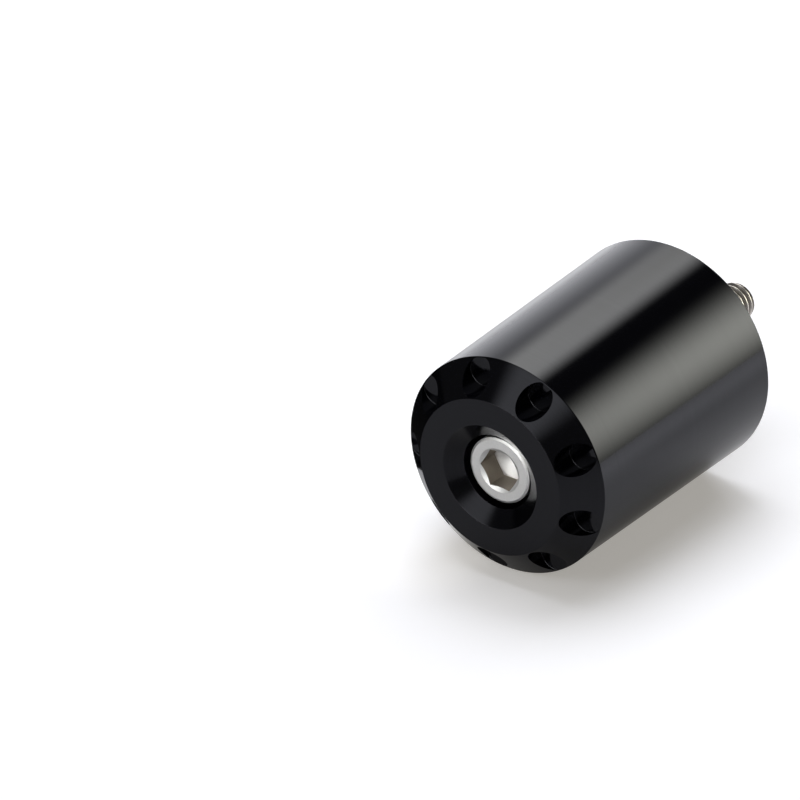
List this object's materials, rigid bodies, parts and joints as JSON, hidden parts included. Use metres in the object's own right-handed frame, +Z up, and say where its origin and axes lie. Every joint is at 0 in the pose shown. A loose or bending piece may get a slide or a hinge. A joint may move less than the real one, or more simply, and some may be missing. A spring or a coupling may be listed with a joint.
{
  "type": "bar end weight",
  "caption": "Turned bar end weight for a motorcycle handlebar, with a dished outer face, a ring of blind pockets and a recessed socket cap screw.",
  "frame": {"origin": "centre of the rear face, on the screw's axis, where the weight seats on the end of the handlebar", "axes": "+Y along the axis from the outer face towards the handlebar, the way the thread points; +Z up as the bar lies level"},
  "size_m": [0.035, 0.0633, 0.035],
  "materials": {
    "black_anodised": "satin black anodised, finely turned",
    "stainless_steel": "bright cold-formed stainless steel, knurled head"
  },
  "bodies": {
    "root": {"weight_body": "black_anodised", "socket_cap_screw": "stainless_steel"}
  },
  "joints": []
}
